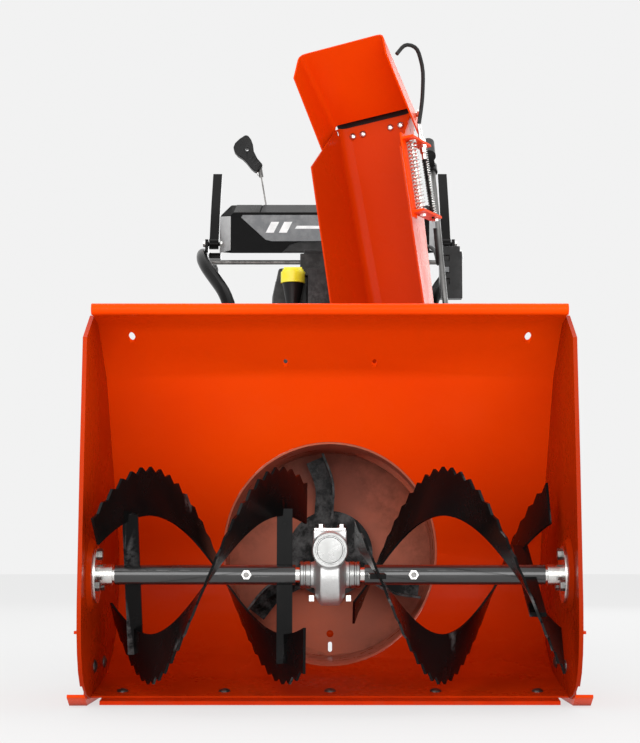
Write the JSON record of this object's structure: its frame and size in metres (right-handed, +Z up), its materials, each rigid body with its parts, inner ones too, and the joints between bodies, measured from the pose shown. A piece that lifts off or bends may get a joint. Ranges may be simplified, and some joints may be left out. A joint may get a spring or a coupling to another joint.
{
  "type": "two stage snowblower",
  "caption": "Walk-behind two stage snow thrower with open auger housing, tall rotating discharge chute, engine, two driven wheels and handlebars.",
  "frame": {"origin": "on the ground plane, midway along the length and on the middle plane of the housing", "axes": "+Z up, +Y towards the operator behind the machine, +X towards the operator's left; the auger housing faces -Y"},
  "size_m": [0.6644, 1.5, 1.0449],
  "materials": {
    "orange_paint": "gloss powder coat",
    "black_paint": "gloss black paint",
    "zinc_steel": "zinc plated",
    "dark_steel": "dark plated",
    "bronze": "machined",
    "cast_aluminium": "sand cast",
    "muffler_steel": "heat resistant",
    "black_plastic": "fine texture",
    "charcoal_plastic": "fine texture",
    "grey_plastic": "fine texture",
    "yellow_plastic": "moulded",
    "soft_rubber": "matte",
    "tyre_rubber": "matte",
    "white_paint": "gloss"
  },
  "bodies": {
    "chassis": {"housing_wrap": "orange_paint", "side_plate_left": "orange_paint", "side_plate_right": "orange_paint", "impeller_drum": "orange_paint", "scraper_bar": "orange_paint", "skid_shoes": "orange_paint", "shaft_bearings": "zinc_steel", "housing_bolts": "dark_steel", "gearbox_case": "cast_aluminium", "control_cable": "soft_rubber", "tractor_frame": "black_paint", "belt_cover": "black_plastic", "engine_block": "cast_aluminium", "engine_shroud": "black_plastic", "muffler": "muffler_steel", "fuel_tank": "black_plastic", "oil_filler": "black_plastic", "starter_motor": "black_plastic", "switch_box": "black_plastic", "drive_belts": "soft_rubber", "handlebars": "black_paint", "hand_grips": "soft_rubber", "dash_panel": "charcoal_plastic", "interlock_rod": "zinc_steel"},
    "augers": {"auger_shaft": "zinc_steel", "auger_tube_left": "black_paint", "auger_tube_right": "black_paint", "auger_flights_left": "black_paint", "auger_flights_right": "black_paint", "shear_pins": "zinc_steel", "worm_wheel": "bronze"},
    "impeller_unit": {"impeller_shaft": "zinc_steel", "impeller": "black_paint", "impeller_pulley": "dark_steel"},
    "crank_pulley": {"engine_pulley": "dark_steel"},
    "traction_disc": {"friction_disc": "zinc_steel"},
    "hex_drive": {"hex_shaft": "zinc_steel"},
    "friction_roller": {"friction_wheel": "soft_rubber"},
    "wheel_set": {"axle": "zinc_steel", "rims": "white_paint", "tyres": "tyre_rubber"},
    "chute": {"chute_ring": "dark_steel", "chute_body": "orange_paint", "deflector_springs": "zinc_steel", "deflector_bracket": "orange_paint", "chute_bolts": "zinc_steel", "deflector_cable": "soft_rubber"},
    "deflector": {"chute_deflector": "orange_paint"},
    "chute_crank": {"chute_crank_rod": "black_paint", "chute_crank_handle": "black_plastic"},
    "deflector_control": {"deflector_lever": "black_plastic"},
    "drive_clutch": {"drive_clutch_lever": "black_plastic"},
    "auger_clutch": {"auger_clutch_lever": "black_plastic"},
    "speed_selector": {"shift_lever": "zinc_steel", "shift_knob": "black_plastic"},
    "recoil_grip": {"recoil_handle": "black_plastic"},
    "fuel_lid": {"fuel_cap": "black_plastic"},
    "oil_lid": {"oil_cap": "yellow_plastic"},
    "choke": {"choke_knob": "black_plastic"},
    "start_switch": {"starter_button": "grey_plastic"}
  },
  "joints": [
    {"name": "impeller_spin", "type": "hinge", "parent": "chassis", "child": "impeller_unit", "pos_m": [0, -0.28, 0.192], "axis": [0, -1, 0], "continuous": true},
    {"name": "auger_spin", "type": "hinge", "parent": "chassis", "child": "augers", "pos_m": [0, -0.612, 0.165], "axis": [1, 0, 0], "continuous": true},
    {"name": "engine_spin", "type": "hinge", "parent": "chassis", "child": "crank_pulley", "pos_m": [0, -0.16, 0.41], "axis": [0, -1, 0], "continuous": true},
    {"name": "traction_disc_spin", "type": "hinge", "parent": "chassis", "child": "traction_disc", "pos_m": [0, -0.1, 0.23508], "axis": [0, -1, 0], "continuous": true},
    {"name": "wheel_spin", "type": "hinge", "parent": "chassis", "child": "wheel_set", "pos_m": [0, 0.09, 0.203], "axis": [1, 0, 0], "continuous": true},
    {"name": "hex_shaft_spin", "type": "hinge", "parent": "chassis", "child": "hex_drive", "pos_m": [0, 0.02, 0.23508], "axis": [1, 0, 0], "continuous": true},
    {"name": "friction_wheel_slide", "type": "slide", "parent": "hex_drive", "child": "friction_roller", "axis": [1, 0, 0], "range_m": [-0.031, 0.031]},
    {"name": "chute_rotate", "type": "hinge", "parent": "chassis", "child": "chute", "pos_m": [0.117, -0.29, 0.372], "axis": [-0.1392, 0, 0.9903], "range_deg": [-78, 122], "deforming": ["control_cable"]},
    {"name": "deflector_tilt", "type": "hinge", "parent": "chute", "child": "deflector", "pos_m": [0.06847, -0.24364, 0.85192], "axis": [0.918, -0.375, 0.129], "range_deg": [0, 40], "deforming": ["deflector_cable"]},
    {"name": "chute_crank_turn", "type": "hinge", "parent": "chassis", "child": "chute_crank", "pos_m": [0.1946, -0.209, 0.392], "axis": [0.0109, 0.7671, 0.6414], "continuous": true},
    {"name": "deflector_control_tilt", "type": "hinge", "parent": "chassis", "child": "deflector_control", "pos_m": [0.08, 0.548, 0.83], "axis": [-1, 0, 0], "range_deg": [0, 20]},
    {"name": "drive_clutch_squeeze", "type": "hinge", "parent": "chassis", "child": "drive_clutch", "pos_m": [0.232, 0.5, 0.808], "axis": [-1, 0, 0], "range_deg": [0, 48], "stiffness_Nm_per_rad": 1.2, "springref_deg": -22.92},
    {"name": "auger_clutch_squeeze", "type": "hinge", "parent": "chassis", "child": "auger_clutch", "pos_m": [-0.232, 0.5, 0.808], "axis": [-1, 0, 0], "range_deg": [0, 48], "stiffness_Nm_per_rad": 1.2, "springref_deg": -22.92},
    {"name": "speed_select", "type": "hinge", "parent": "chassis", "child": "speed_selector", "pos_m": [-0.117, 0.548, 0.82], "axis": [1, 0, 0], "range_deg": [-12, 12]},
    {"name": "recoil_pull", "type": "slide", "parent": "chassis", "child": "recoil_grip", "axis": [0, 1, 0], "range_m": [0, 0.04], "stiffness_N_per_m": 60, "springref_m": -0.1},
    {"name": "fuel_cap_turn", "type": "hinge", "parent": "chassis", "child": "fuel_lid", "pos_m": [0.1, 0.06, 0.71], "axis": [0, 0, 1], "range_deg": [0, 120]},
    {"name": "oil_cap_turn", "type": "hinge", "parent": "chassis", "child": "oil_lid", "pos_m": [-0.061, -0.06, 0.64], "axis": [0, 0, 1], "range_deg": [0, 90]},
    {"name": "choke_turn", "type": "hinge", "parent": "chassis", "child": "choke", "pos_m": [0.05, 0.14, 0.605], "axis": [0, 1, 0], "range_deg": [0, 70]},
    {"name": "start_press", "type": "slide", "parent": "chassis", "child": "start_switch", "axis": [0, 1, 0], "range_m": [0, 0.0028], "stiffness_N_per_m": 400, "springref_m": -0.004}
  ],
  "couplings": [
    {"joint": "auger_spin", "follows": "impeller_spin", "ratio": 0.1},
    {"joint": "traction_disc_spin", "follows": "engine_spin", "ratio": 0.7273},
    {"joint": "hex_shaft_spin", "follows": "wheel_spin", "ratio": -4.5},
    {"joint": "friction_wheel_slide", "follows": "speed_select", "m_per_rad": 0.14706},
    {"joint": "chute_crank_turn", "follows": "chute_rotate", "ratio": -15},
    {"joint": "deflector_control_tilt", "follows": "deflector_tilt", "ratio": 0.5}
  ]
}
